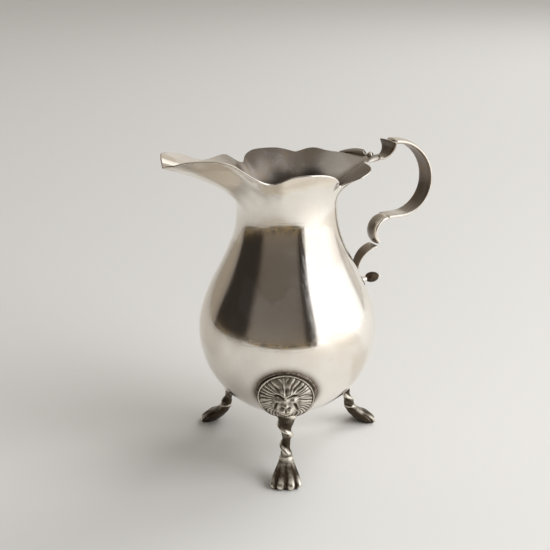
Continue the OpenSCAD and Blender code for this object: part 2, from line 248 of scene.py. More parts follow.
def unit(v):
    """Vectors over their own length."""
    return v / np.linalg.norm(v, axis=-1, keepdims=True)


def outward(s, angle):
    """Normal of the outside, from differences along both directions."""
    d = 0.002
    low = np.clip(s - d, 0, 3)
    across = outer(s, angle + 0.3) - outer(s, angle - 0.3)
    upward = outer(low + 2 * d, angle) - outer(low, angle)
    return unit(np.cross(across, upward))


RING_DARK_WIDTH = 1.7


def mask_ring(points):
    """Darkening round each mask: a bell curve of the distance from the mask's edge, square to its axis."""
    total = 0
    for angle in LEGS.values():
        on_axis, ahead = from_mask(np.array([[0, 0, 0.0], [0, 0, 1.0]]), angle)
        ahead = ahead - on_axis
        away = points - on_axis
        along = away @ ahead
        gap = np.linalg.norm(away - along[..., None] * ahead, axis=-1) - MASK_R
        total = total + bump(np.maximum(gap, 0), RING_DARK_WIDTH) * (along > 0)
    return total


BODY_AROUND = 288


def body():
    """Outside from the bottom to the rim, half a circle over the edge, and inside back down.
    The inside gets painted shade, less of it above the neck along the lip and along the handle's lobe."""
    angles = np.linspace(0, 360, BODY_AROUND, endpoint=False)[None, :]
    edge_r = WALL / 2
    length = np.linalg.norm(outer(3.0, angles) - outer(2.99, angles), axis=-1) / 0.01
    end = 3 - edge_r / length
    belly, waist, flare = np.linspace(0, 1, 49), np.linspace(1, 2, 49)[1:], np.linspace(2, 3, 61)[1:]
    rows = np.concatenate([belly, waist, flare])[:, None]
    s = np.where(rows > 2, 2 + (rows - 2) * (end - 2), rows + 0 * end)
    skin = outer(s, angles)
    normal = outward(s, angles)
    inner = skin - WALL * normal
    top, n_top = skin[-1], normal[-1]
    up = unit(outer(end, angles)[0] - outer(end - 0.02, angles)[0])
    turn = rad(np.linspace(0, 180, 9))[1:-1, None, None]
    over = top - edge_r * n_top + edge_r * (np.cos(turn) * n_top + np.sin(turn) * up)
    # Below the neck, every second row is enough inside.
    keep = np.r_[0:49:2, 50:97:2, 98:157]
    rings = np.concatenate([skin, over, inner[keep][::-1]])
    within = np.zeros(rings.shape[:2])
    within[len(skin) + len(over) // 2 + 1:] = 1
    a = np.abs(folded(angles))
    # Painted shade inside the jug: full deep in the neck, and above it everywhere but along the lip and the
    # handle's lobe.
    deep = np.clip((NECK_Z + 15.5 - rings[..., 2]) / 9, 0, 1)
    shade = np.maximum(1 - 1.05 * bump(180 - a, 52) - 0.5 * bump(a, 34), 0.9 * deep)
    within = within * np.clip(shade, 0, 1)
    build("jug_body", [tube_mesh(rings)], "polished_silver", ["body_shell"],
          {"shade": np.r_[within.ravel(), 0, 1], "ring": np.r_[mask_ring(rings).ravel(), 0, 0]})


# ---- Lion masks ----

# Thickness at the edge, its rounding, and how deep the back lies in the silver.
MASK_EDGE, MASK_ROUND, MASK_BED = 1.1, 0.35, 0.35
MASK_AROUND, FACE_ROWS = 264, 92
# Height over the belly's centre of the circle where the mask meets the belly, then that centre
# in the leaned mask's frame.
MASK_FOOT = BELLY_R * math.cos(math.asin(MASK_R / BELLY_R))
LEAN = math.radians(MASK_LEAN)
BELLY_X = MASK_R - MASK_R * math.cos(LEAN) + MASK_FOOT * math.sin(LEAN)
BELLY_H = MASK_FOOT - MASK_R * math.sin(LEAN) - MASK_FOOT * math.cos(LEAN)


def leaned(x, z):
    """A mask's plane turned by its lean about the mask's upper edge, so that its lower edge stands
    off the belly."""
    x, z = x - MASK_R, z - MASK_FOOT
    return (MASK_R + x * math.cos(LEAN) + z * math.sin(LEAN),
            MASK_FOOT - x * math.sin(LEAN) + z * math.cos(LEAN))


def belly_under(x, y):
    """Height of the belly's sphere in the leaned mask's own frame."""
    return BELLY_H + np.sqrt(BELLY_R ** 2 - (x - BELLY_X) ** 2 - y ** 2)


def from_mask(co, angle):
    """Points from a mask's own frame (x up the body, z out of the belly) to the jug's: leaned,
    tilted below the level, raised to the belly's centre, and turned to its leg."""
    tilt = math.radians(90 + MASK_TILT)
    x, z = leaned(co[..., 0], co[..., 2])
    x, y = -x, -co[..., 1]
    turned = np.stack([x * math.cos(tilt) + z * math.sin(tilt), y,
                       -x * math.sin(tilt) + z * math.cos(tilt) + BELLY_Z], -1)
    return turned_about(turned, angle)


def spot(x, y, x0, y0, wide_x, wide_y=None):
    """A hump at one place, with its half widths along x and y."""
    return np.exp(-((x - x0) / wide_x) ** 2 - ((y - y0) / (wide_y or wide_x)) ** 2)


def mask_relief(x, y):
    """Height of the lion's face over the mask's dome, x up and y sideways, in millimetres:
    locks of the mane, which are cosines of a wavering angle, round an oval face. The face is a sum
    of humps and dips for the brows, eyes, nose, muzzle, mouth, cheeks and chin."""
    r = np.hypot(x, y)
    a = np.arctan2(y, x)
    m = np.abs(y)
    # The oval's share falls from 1 inside the face to 0 in the mane.
    oval = np.sqrt(((x + 0.3) / 6.3) ** 2 + (y / 5.3) ** 2)
    face = 1 / (1 + np.exp((oval - 1) * 8))
    # The mane, combed outwards: locks, clumps of locks and fine strands.
    sweep = np.abs(a) - 0.05 * (r - 4) * np.clip(np.abs(a), 0, 1.5)
    wave = (sweep * 19 + 0.4 * np.sin(r * 1.1 + 3 * np.abs(a)) + 0.9 * np.sin(5.3 * a + 1.1)
            + 0.5 * np.sin(9.7 * a))
    lock = np.abs(np.cos(wave)) ** 0.8
    clump = 0.5 + 0.5 * np.cos(wave / 2.3 + 0.8)
    strand = 0.5 + 0.5 * np.cos(wave * 4.3 + 1.6 * r)
    mane = (0.55 * lock + 0.38 * clump + 0.10 * strand) * (1.25 - 0.06 * r)
    h = (1 - face) * mane
    # The brows over a rounded face, with a dip between them.
    brow_x = 4.3 + 0.30 * np.clip(m - 1.0, 0, 4) - 0.09 * np.clip(m - 1.0, 0, 4) ** 2
    f = 0.30 + 0.7 * (1 - np.clip(oval, 0, 1) ** 2)
    f = f + 1.25 * bump(x - brow_x, 0.85) * bump(m - 1.8, 2.3) - 0.4 * bump(y, 0.4) * bump(x - 5.2, 1.0)
    # The eyes' hollows, then the cheeks under them.
    f = f - 1.15 * bump(x - brow_x + 1.45, 0.55) * bump(m - 2.3, 1.6)
    f = f + 0.8 * spot(x, m, 1.4, 2.8, 0.95, 1.25)
    # The nose: its bridge, its broad tip and the two nostrils.
    bridge = 1 / (1 + np.exp((x - 4.2) * 3)) / (1 + np.exp(-(x + 0.4) * 4))
    f = f + bridge * 0.95 * bump(y, 1.25)
    f = f + 0.7 * spot(x, y, 0.1, 0, 0.8, 1.55) - 0.6 * spot(x, m, -0.75, 0.85, 0.36, 0.55)
    # The muzzle with its two pads and the line between them.
    f = f + 1.35 * spot(x, y, -2.5, 0, 2.0, 3.3) + 0.8 * spot(x, m, -2.4, 1.6, 1.2, 1.35)
    f = f - 0.5 * bump(y, 0.28) * bump(x + 2.2, 0.9)
    # The mouth, the folds beside the muzzle, and the chin with its beard.
    f = f - 1.5 * bump(x + 4.4 - 0.12 * m ** 2, 0.45) / (1 + np.exp((m - 2.9) * 5))
    f = f - 0.9 * bump(m - 3.6 + 0.3 * (x + 2), 0.5) * bump(x + 1.3, 1.9)
    f = f + 1.1 * spot(x, y, -5.7, 0, 0.8, 2.0)
    h = h + face * f + 0.5 * spot(x, y, -7.8, 0, 1.3, 2.2)
    # A raised edge, which fades below the chin.
    foot = 1 / (1 + np.exp(-(np.abs(a) - 2.3) * 8))
    rim = bump(r - 9.5, 0.26) * (1 - 0.8 * foot)
    return h * (1 / (1 + np.exp((r - 9.15) * 6))) + 0.40 * rim


def mask_surface(x, y):
    """A sphere's cap from the mask's edge up to its middle, never lower than the edge, with the
    face on it."""
    r = np.hypot(x, y)
    rise = BELLY_R + MASK_DOME - MASK_FOOT - MASK_EDGE
    dome_r = ((MASK_R - 0.8) ** 2 + rise ** 2) / (2 * rise)
    dome = BELLY_R + MASK_DOME - dome_r + np.sqrt(np.maximum(dome_r ** 2 - r ** 2, 1))
    dome = np.maximum(dome, MASK_FOOT + MASK_EDGE)
    return dome - 0.5 + mask_relief(x, y)


def recess(x, y):
    """How far a point lies below its surroundings: the mean of sixteen neighbours, in eight
    directions at two distances, less its own height."""
    total = 0
    for k in range(8):
        a = k * math.pi / 4
        for reach in (0.28, 0.6):
            total = total + mask_surface(x + reach * math.cos(a), y + reach * math.sin(a))
    return total / 16 - mask_surface(x, y)


def mask(side, angle):
    """A polar grid over the mask's face, its rounded edge, its wall and a back that follows the
    belly just under the silver."""
    a = rad(np.linspace(0, 360, MASK_AROUND, endpoint=False))[None, :]
    edge = rad(np.linspace(90, 0, 7))[1:, None]
    face_r = MASK_R - MASK_ROUND
    r = np.concatenate([np.linspace(0.04, face_r, FACE_ROWS), face_r + MASK_ROUND * np.cos(edge[:, 0]),
                        [MASK_R, MASK_R, MASK_R - 0.5, 5.0]])[:, None]
    x, y = r * np.cos(a), r * np.sin(a)
    x_in, y_in = np.clip(r, 0, face_r) * np.cos(a), np.clip(r, 0, face_r) * np.sin(a)
    z = mask_surface(x_in, y_in)
    wall = FACE_ROWS + len(edge)
    z[FACE_ROWS:wall] = z[FACE_ROWS - 1] - MASK_ROUND * (1 - np.sin(edge))
    z[wall] = z[wall - 1] - 0.3
    z[wall + 1:] = belly_under(x, y)[wall + 1:] - MASK_BED
    dark = recess(x_in, y_in)
    dark[FACE_ROWS:] = np.linspace(0.05, 0.5, len(r) - FACE_ROWS)[:, None]
    co, faces = tube_mesh(np.stack([x, y, z], -1))
    build(f"lion_mask_{side}", [(from_mask(co, angle), faces)], "cast_silver", [f"mask_{side}"],
          {"recess": np.r_[dark.ravel(), 0, 0]})


# The solder ring: half width, half thickness, how far it stands outside the mask and lies in the silver.
SOLDER_W, SOLDER_T, SOLDER_OUT, SOLDER_IN = 0.42, 0.36, 0.18, 0.12


def mask_solder(side, angle):
    """A lumpy fillet round the mask, laid on the belly: an oval carried round a circle, its width
    wavering by three sines of the angle."""
    a = rad(np.linspace(0, 360, 240, endpoint=False))[:, None]
    waver = 0.06 * np.sin(5 * a + angle) + 0.04 * np.sin(13 * a + 1.3) + 0.03 * np.sin(29 * a)
    b = rad(np.linspace(0, 360, 18, endpoint=False))[None, :]
    wide = SOLDER_W + waver
    out = MASK_R + SOLDER_OUT + wide * np.cos(b)
    height = belly_under(out * np.cos(a), out * np.sin(a))
    z = height - SOLDER_IN + SOLDER_T * np.sin(b) + 0.25 * (1 - np.cos(b)) * 0.5
    co, faces = tube_mesh(np.stack([out * np.cos(a), out * np.sin(a), z], -1), joined=True)
    build(f"mask_solder_ring_{side}", [(from_mask(co, angle), faces)], "silver_solder",
          [f"mask_solder_{side}"])


# ---- Stems and paws ----

# The chin, as distance from the jug's axis and height: the stem starts a little inside and above it.
TILT = math.radians(MASK_TILT)
CHIN_X, CHIN_H = leaned(-0.8 * MASK_R, MASK_FOOT + MASK_EDGE)
CHIN = np.array([CHIN_H * math.cos(TILT) + CHIN_X * math.sin(TILT),
                 BELLY_Z - CHIN_H * math.sin(TILT) + CHIN_X * math.cos(TILT)])
PAW_BACK = TOE_REACH - PAW_LENGTH
STEM_TOP = CHIN + [-2.2, 1.2]
STEM_END = np.array([PAW_BACK + 1.65, PAW_HEIGHT])
# The ridge's angle at the collar, its sharpness, and the hollow that follows it.
COLLAR_TWIST, RIDGE_POWER, HOLLOW_BEHIND, HOLLOW_DEPTH = 75, 2.6, 128, 0.22
STEM_BOW = 0.9


def stem(side, angle):
    """A round bar along a line bowed by half a sine, with one ridge winding down it like a screw: a
    power of the cosine of the angle from the ridge. A shallow hollow follows the ridge."""
    t = np.linspace(0, 1, 150)[:, None]
    a = np.linspace(0, 360, 64, endpoint=False)[None, :]
    x = STEM_TOP[0] * (1 - t) + STEM_END[0] * t - STEM_BOW * np.sin(np.pi * t)
    z = STEM_TOP[1] * (1 - t) + STEM_END[1] * t
    width = STEM_R * (1 + 1.25 * bump(t - 0.12, 0.3) + 0.35 * bump(t - 0.96, 0.07))
    twist = COLLAR_TWIST - 360 * (STEM_TOP[1] - STEM_END[1]) * (1 - t) / STEM_PITCH
    hold = np.minimum(1, np.minimum(6 * t, 6 * (1 - t)))
    ridge = np.maximum(0, np.cos(rad(a - twist))) ** RIDGE_POWER
    hollow = np.maximum(0, np.cos(rad(a - twist - HOLLOW_BEHIND))) ** 2
    r = width + STEM_RIDGE * hold * ridge - HOLLOW_DEPTH * hold * hollow
    co, faces = tube_mesh(np.stack([x + r * np.cos(rad(a)), r * np.sin(rad(a)), z + 0 * r], -1))
    dark = 0.10 - 0.42 * ridge * hold + 0.13 * hollow + 0 * r
    build(f"twisted_stem_{side}", [(turned_about(co, angle), faces)], "cast_silver", [f"stem_{side}"],
          {"recess": np.r_[dark.ravel(), 0, 0]})


# The paw's outline at shares of its height: front and rear as shares of its length, then its width's share.
PAW_RINGS = np.array([[0, 0.95, 0.52, 0.86], [0.09, 1, 0.46, 0.96], [0.18, 1, 0.38, 1],
                      [0.3, 0.96, 0.28, 0.97], [0.42, 0.86, 0.21, 0.88], [0.52, 0.74, 0.14, 0.77],
                      [0.62, 0.61, 0.09, 0.66], [0.72, 0.5, 0.05, 0.56], [0.84, 0.38, 0.01, 0.44],
                      [1, 0.3, -0.02, 0.36]])
# The toes' angles from the front, and the clefts' angles, depths and half widths.
TOES = (18, -18, 57, -57)
CLEFTS = ((0, 1, 8), (37, 0.9, 7), (-37, 0.9, 7), (80, 0.6, 7), (-80, 0.6, 7))
CLAWS, CLAW_SIZE, CLAW_HEIGHT = (58, -58), 0.5, 1.15


def smooth_table(table, at):
    """A smooth curve through the table's rows, by cubic pieces with the mean slope at each row."""
    h, v = table[:, 0], table[:, 1:]
    slope = np.gradient(v, h, axis=0)
    i = np.clip(np.searchsorted(h, at, side="right") - 1, 0, len(h) - 2)
    d = (h[i + 1] - h[i])[:, None]
    u = ((at - h[i]) / d[:, 0])[:, None]
    return ((2 * u ** 3 - 3 * u ** 2 + 1) * v[i] + (u ** 3 - 2 * u ** 2 + u) * d * slope[i]
            + (-2 * u ** 3 + 3 * u ** 2) * v[i + 1] + (u ** 3 - u ** 2) * d * slope[i + 1])


def claw(centre, heading, size):
    """A small curved horn: circles that shrink along a quarter turn down to the table."""
    t = np.linspace(0, 1, 9)[:, None]
    b = rad(np.linspace(0, 360, 14, endpoint=False))[None, :]
    ahead = 1.9 * size * np.sin(t * np.pi / 2)
    down = 1.25 * size * (1 - np.cos(t * np.pi / 2))
    r = 0.48 * size * (1 - t) ** 0.65 + 0.05
    ring = np.stack([ahead + 0 * b, r * np.cos(b), -down + r * np.sin(b)], -1)
    co, faces = tube_mesh(ring)
    return turned_about(co, heading) + centre, faces


def paw(side, angle):
    """Ovals from the sole to the collar. Each one's radius loses a hump at every cleft, which fades
    with the height, and gains one at every knuckle and at the collar, and a ripple of tendons."""
    h = np.concatenate([np.linspace(0, 0.06, 5), np.linspace(0.06, 1, 76)[1:]])
    table = smooth_table(PAW_RINGS, h)
    front, rear = PAW_BACK + PAW_LENGTH * table[:, 0], PAW_BACK + PAW_LENGTH * table[:, 1]
    centre, half_l = ((front + rear) / 2)[:, None], ((front - rear) / 2)[:, None]
    half_w = (PAW_WIDTH / 2 * table[:, 2])[:, None]
    h = h[:, None]
    a = np.linspace(0, 360, 144, endpoint=False)[None, :]
    turn = folded(a)
    spread = 1 - h ** 3
    low = bump(h, 0.5) * (0.75 + 0.25 * np.cos(rad(turn * 0.9)))
    cuts = sum(depth * bump(turn - g, wide) for g, depth, wide in CLEFTS)
    knuckle = sum(bump(turn - g, 14) for g in TOES) * bump(h - 0.2, 0.2)
    second = sum(bump(turn - g, 12) for g in TOES) * bump(h - 0.46, 0.09)
    k = 1 - 0.24 * low * np.minimum(cuts, 1) + 0.045 * knuckle + 0.02 * second
    # A quarter of an ellipse rounds the sole's edge.
    foot = np.clip(h / 0.16, 0, 1)
    k = k * (0.87 + 0.11 * np.sqrt(1 - (1 - foot) ** 2))
    w = half_w * (1 + 0.25 * spread * (np.cos(rad(a)) - 0.3))
    tendon = 0.02 * np.cos(rad(turn * 8)) * bump(h - 0.68, 0.12)
    collar = 0.16 * bump(h - 0.93, 0.035) + 0.10 * bump(h - 0.84, 0.03)
    k = k + tendon + collar
    points = np.stack([centre + half_l * k * np.cos(rad(a)), w * k * np.sin(rad(a)),
                       PAW_HEIGHT * h + 0 * k], -1)
    parts = [tube_mesh(points)]
    # The last term gives the half of the paw towards the jug's axis painted shade.
    dark = (0.02 + 0.55 * low * np.minimum(cuts, 1) - 0.24 * knuckle + 0.10 * bump(h - 0.5, 0.12)
            - 0.30 * bump(h - 0.93, 0.04) + 0.15 * (np.cos(rad(turn)) < 0))
    shade = [dark.ravel(), [0.3, 0]]
    for g in CLAWS:
        x = PAW_BACK + PAW_LENGTH * 0.70 + 0.21 * PAW_LENGTH * math.cos(math.radians(g))
        y = PAW_WIDTH * 0.44 * math.sin(math.radians(g))
        co, faces = claw(np.array([x, y, CLAW_HEIGHT]), g * 0.9, CLAW_SIZE)
        co[:, 0] = np.minimum(co[:, 0], TOE_REACH)
        co[:, 2] = np.maximum(co[:, 2], 0.02)
        parts.append((co, faces))
        shade.append(np.full(len(co), 0.05))
    parts = [(turned_about(co, angle), faces) for co, faces in parts]
    build(f"paw_foot_{side}", parts, "cast_silver", [f"paw_{side}"], {"recess": np.concatenate(shade)})


# ---- The handle ----


def arc(centre, r, start, end, n):
    """Points of a circle from one angle to another."""
    a = rad(np.linspace(start, end, n))[:, None]
    return np.asarray(centre) + r * np.concatenate([np.cos(a), np.sin(a)], 1)


def way(degrees):
    """A vector of length 1 in the XZ plane, at that angle from +X towards +Z."""
    return np.array([math.cos(math.radians(degrees)), math.sin(math.radians(degrees))])


def along(path):
    """Share of the path's length at each of its points."""
    d = np.r_[0, np.cumsum(np.linalg.norm(np.diff(path, axis=0), axis=1))]
    return d / d[-1]


# The strap's flat side: shares of the half width, and depths as shares of the thickness.
FLAT_Y = np.array([0.985, 0.94, 0.86, 0.6, 0.3, 0, -0.3, -0.6, -0.86, -0.94, -0.985])[None, :]
FLAT_N = np.array([-0.26, -0.40, -0.48, -0.46, -0.43, -0.42, -0.43, -0.46, -0.48, -0.40, -0.26])[None, :]


def strap(path, width, thick, facing, end_round):
    """A bar along a path in the XZ plane: half an ellipse on one side, nearly flat on the other,
    with softened corners. The round side is on the path's left where facing is 1. end_round
    tapers the ends over that share of the length."""
    d = unit(np.gradient(path, axis=0))
    normal = facing * np.stack([-d[:, 1], d[:, 0]], 1)
    h = along(path)
    near = [np.sqrt(np.clip(1 - (1 - np.clip(q / e, 0, 1)) ** 2, 0.02, 1)) if e else 1 + 0 * q
            for q, e in ((h, end_round[0]), (1 - h, end_round[1]))]
    w, t = (width * near[0] * near[1])[:, None], (thick * near[0] * near[1])[:, None]
    a = rad(np.linspace(0, 180, 19))[None, :]
    top_y, top_n = -w / 2 * np.cos(a), t * (0.62 * np.sin(a) ** 0.8 - 0.1)
    y = np.concatenate([top_y, w / 2 * FLAT_Y], 1)
    n = np.concatenate([top_n, t * FLAT_N], 1)
    x = path[:, :1] + normal[:, :1] * n
    z = path[:, 1:] + normal[:, 1:] * n
    # Painted shade on what faces the body.
    shade = np.concatenate([-normal[:, :1] * np.sin(a) - 0.05, 0.3 + normal[:, :1] + 0 * FLAT_N], 1)
    return np.stack([x, y, z], -1), np.clip(shade, 0, 1)


TAIL_W, TAIL_T = 0.82 * STRAP_W, 0.85 * STRAP_T
CURL_Z = BELLY_Z + TAIL_RISE
# Angles on the tail's curl: where it touches the belly, where it starts and where it ends.
TOUCH, CURL_START, CURL_END = 203, 200, 280
CONTACT_Z = CURL_Z + (CURL_R + TAIL_T / 2) * way(TOUCH)[1]
SLOPE = (belly_profile(CONTACT_Z + 0.1) - belly_profile(CONTACT_Z - 0.1)) / 0.2
CURL = np.array([belly_profile(CONTACT_Z) + 0.15 * math.sqrt(1 + SLOPE ** 2)
                 - (CURL_R + TAIL_T / 2) * way(TOUCH)[0], CURL_Z])
TAIL_CENTRE = CURL - (TAIL_R - CURL_R) * way(CURL_START)
TAIL_PATH = np.vstack([arc(TAIL_CENTRE, TAIL_R, 88, CURL_START, 64),
                       arc(CURL, CURL_R, CURL_START, CURL_END, 30)[1:],
                       np.linspace(CURL + CURL_R * way(CURL_END), CURL + [1.9, -CURL_R + 0.15], 8)[1:]])
SMALL_START = TAIL_PATH[0] + [0.6, STRAP_T * 0.7]
SMALL_FROM, SMALL_TO = 235, 90
SMALL_CENTRE = SMALL_START - SMALL_SCROLL_R * way(SMALL_FROM)
SMALL_PATH = arc(SMALL_CENTRE, SMALL_SCROLL_R, SMALL_FROM, SMALL_TO, 56)
# The leaf springs level from the rim, turns up a quarter circle and ends upright.
ROOT = np.array([LIP_REACH - 0.8, NECK_Z + float(rim_rise(0.0)) + 0.3])
LEAF_CENTRE = ROOT + [2, LEAF_CURVE]
LEAF_HEIGHT, LEAF_ROOT_W = 1.9, 3.4
LEAF_TIP = LEAF_CENTRE + [LEAF_CURVE - 0.2, LEAF_HEIGHT]
LEAF_PATH = np.vstack([np.linspace(ROOT, LEAF_CENTRE + [0, -LEAF_CURVE], 10)[:-1],
                       arc(LEAF_CENTRE, LEAF_CURVE, -90, 0, 40),
                       np.linspace(LEAF_CENTRE + [LEAF_CURVE, 0], LEAF_TIP, 14)[1:]])
# The main scroll's ellipse: its angle at the leaf's back, and the degrees it runs through.
SCROLL_START, SCROLL_SWEEP = 100, 190
SCROLL_TOP = LEAF_CENTRE[1] + LEAF_HEIGHT - 0.3
SCROLL_BOTTOM = SMALL_PATH[-1, 1]
SCROLL_HALF = (SCROLL_TOP - SCROLL_BOTTOM) / 2
SCROLL_Z = (SCROLL_TOP + SCROLL_BOTTOM) / 2
SCROLL_TOP_X = LEAF_CENTRE[0] + LEAF_CURVE + 0.5 - SCROLL_BULGE * way(SCROLL_START)[0]
SCROLL_BOTTOM_X = SMALL_PATH[-1, 0] + 0.3 * SCROLL_BULGE


def main_path():
    """An ellipse, fuller below than above, from the leaf's back down to the small scroll. Its
    centre line leads from the leaf to a short level run before the small scroll."""
    h = np.linspace(0, 1, 150)[:, None]
    a = rad(SCROLL_START - SCROLL_SWEEP * h)
    k = 1 - 0.05 * np.sin(2 * a)
    x = SCROLL_TOP_X + (SCROLL_BOTTOM_X - SCROLL_TOP_X) * (1 - np.cos(np.pi * h)) / 2
    path = np.concatenate([x + k * SCROLL_BULGE * np.cos(a), SCROLL_Z + k * SCROLL_HALF * np.sin(a)], 1)
    return np.vstack([path, np.linspace(path[-1], SMALL_PATH[-1], 8)[1:]])


def strap_piece(name, path, width, thick, facing, end_round, node):
    """A strap as one piece of polished silver, in its node's place."""
    rings, shade = strap(path, width, thick, facing, end_round)
    build(name, [tube_mesh(rings)], "polished_silver", [node], {"shade": np.r_[shade.ravel(), 0, 0]})


def handle():
    """The three scrolls and the thumb leaf. The main scroll is widest in its middle by a sine, the
    small one and the tail change width evenly, and the leaf widens by a power of the length."""
    path = main_path()
    h = along(path)
    strap_piece("main_scroll_strap", path, STRAP_W * (0.86 + 0.14 * np.sin(np.pi * h)), STRAP_T + 0 * h, 1,
                (0.02, 0), "main_scroll")
    h = along(SMALL_PATH)
    strap_piece("small_scroll_strap", SMALL_PATH, TAIL_W + (0.86 * STRAP_W - TAIL_W) * h,
                TAIL_T + (STRAP_T - TAIL_T) * h, 1, (0.05, 0), "small_scroll")
    h = along(TAIL_PATH)
    strap_piece("tail_scroll_strap", TAIL_PATH, TAIL_W + (0.3 * STRAP_W - TAIL_W) * h, TAIL_T + 0 * h, 1,
                (0.05, 0.03), "tail_scroll")
    h = along(LEAF_PATH)
    strap_piece("thumb_leaf_plate", LEAF_PATH, LEAF_ROOT_W + (LEAF_W - LEAF_ROOT_W) * h ** 1.6,
                STRAP_T * (0.95 - 0.25 * h), -1, (0, 0.035), "thumb_leaf")


# The rolled edge: its first angle and its length in degrees, its radius, its bead's radius and half length.
ROLL_FROM, ROLL_SWEEP, ROLL_R, BEAD_R, BEAD_HALF = 2.5, 16.5, 1.15, 1.2, 0.115


def shoulder(side, mirror):
    """A rolled edge that leaves the rim beside the leaf, thin at its far end, with a bead near the
    leaf: circles along the rim, whose radius is half an ellipse at the bead and then a sine."""
    h = np.linspace(0, 1, 90)
    a = ROLL_FROM + ROLL_SWEEP * h
    p = outer(3.0, a)
    ahead = unit(outer(3.0, a + 0.5) - outer(3.0, a - 0.5))
    up = unit(np.array([0, 0, 1]) - ahead[:, 2:] * ahead)
    out = np.cross(ahead, up)
    bead = BEAD_R * np.sqrt(np.clip(1 - ((h - BEAD_HALF) / BEAD_HALF) ** 2, 0.01, 1))
    swell = np.clip(0.05 + 0.9 * (1 - h) ** 1.25, 0, 1)
    roll = ROLL_R * (0.16 + np.sin(rad(180 * swell)) ** 0.9)
    r = np.where(h < 0.2, bead, np.maximum(bead * (h < 0.225), roll * np.clip((h - 0.12) / 0.2, 0.45, 1)))
    r = r[:, None, None]
    c = (p + up * (r[:, 0] * 0.75))[:, None, :]
    b = rad(np.linspace(0, 360, 24, endpoint=False))[None, :, None]
    rings = c + r * (np.cos(b) * up[:, None] + np.sin(b) * out[:, None])
    rings[..., 1] *= mirror
    # Painted shade on the roll past the bead, strongest on its upper side and none underneath.
    shade = 0.85 * np.clip((h - 0.2) / 0.06, 0, 1)[:, None] * (0.35 + 0.65 * np.cos(b[0, :, 0])[None, :])
    build(f"rim_roll_{side}", [tube_mesh(rings)], "polished_silver", [f"rim_shoulder_{side}"],
          {"shade": np.r_[np.clip(shade, 0, 1).ravel(), 0, 0]})


LATHE_AROUND = 48


def lathe(profile, centre, along_axis):
    """A profile of (distance along, radius) turned about an axis, given as a unit vector in XZ."""
    b = rad(np.linspace(0, 360, LATHE_AROUND, endpoint=False))[None, :]
    d, r = profile[:, :1], profile[:, 1:]
    ax, az = along_axis
    side = r * np.cos(b)
    return np.stack([centre[0] + d * ax - side * az, r * np.sin(b), centre[1] + d * az + side * ax], -1)


# The bud's length and its radius at the ends, then where its ball is and the ball's radius.
BUD_LENGTH, BUD_END_R, TIP_AT, TIP_R = 5.4, 0.35, 5.85, 0.75
# The whole bud gets one recess value, which darkens and roughens it.
BUD_DARKENING = 0.28


def bud():
    """A long oval, half a sine turned about +X, with a fine groove round it, then a ball."""
    start = TAIL_PATH[-1] + [-0.4, 0]
    t = np.linspace(0, 1, 60)
    r = BUD_END_R + (BUD_R - BUD_END_R) * np.sin(np.pi * t)
    r = r * (1 - 0.05 * bump(t - 0.62, 0.02)) * np.where(t < 0.01, 0.5, 1)
    profile = np.stack([BUD_LENGTH * (1 - np.cos(np.pi * t)) / 2, r], 1)
    co, faces = tube_mesh(lathe(profile, start, (1, 0)))
    build("tail_bud", [(co, faces)], "cast_silver", ["bud"], {"recess": np.full(len(co), BUD_DARKENING)})
    t = np.linspace(0.02, 0.98, 26)
    profile = np.stack([TIP_AT - TIP_R * np.cos(np.pi * t), TIP_R * np.sin(np.pi * t)], 1)
    build("tail_bud_tip", [tube_mesh(lathe(profile, start, (1, 0)))], "polished_silver", ["bud_tip"])


LENS_R, LENS_T, LENS_IN = 1.75, 0.3, 0.05


def tail_solder():
    """A small lens of solder where the tail scroll meets the belly, square to the belly's slope:
    its radius is the root of 1 less the fourth power of the way out."""
    seat = np.array([belly_profile(CONTACT_Z), CONTACT_Z])
    lean = math.atan(SLOPE)
    t = np.linspace(0, 1, 20)
    profile = np.stack([-LENS_IN + LENS_T * t, LENS_R * np.sqrt(np.clip(1 - (t * 0.98) ** 4, 0, 1))], 1)
    rings = lathe(profile, seat, (math.cos(lean), -math.sin(lean)))
    build("tail_solder_lens", [tube_mesh(rings)], "silver_solder", ["tail_solder"])


body()
for side, angle in LEGS.items():
    mask(side, angle)
    mask_solder(side, angle)
    stem(side, angle)
    paw(side, angle)
handle()
shoulder("right", 1)
shoulder("left", -1)
bud()
tail_solder()

# ---- Shader words ----


class Sock:
    """A shader socket on which sums, differences and products add Math nodes."""

    def __init__(self, shop, link):
        self.shop, self.link = shop, link

    def maths(self, operation, *values):
        """The result of one Math node."""
        return self.shop.node("ShaderNodeMath", {"operation": operation}, dict(enumerate(values)))

    def __add__(self, other):
        return self.maths("ADD", self, other)

    def __sub__(self, other):
        return self.maths("SUBTRACT", self, other)

    def __mul__(self, other):
        return self.maths("MULTIPLY", self, other)

    def __rsub__(self, other):
        return self.maths("SUBTRACT", other, self)

    __radd__ = __add__

    def clip(self):
        """The value held between 0 and 1."""
        return self.shop.node("ShaderNodeClamp", {}, {"Value": self})

    def step(self, low, high):
        """A smooth step from 0 at low to 1 at high."""
        return self.shop.node("ShaderNodeMapRange", {"interpolation_type": "SMOOTHSTEP"},
                              {"Value": self, "From Min": low, "From Max": high})


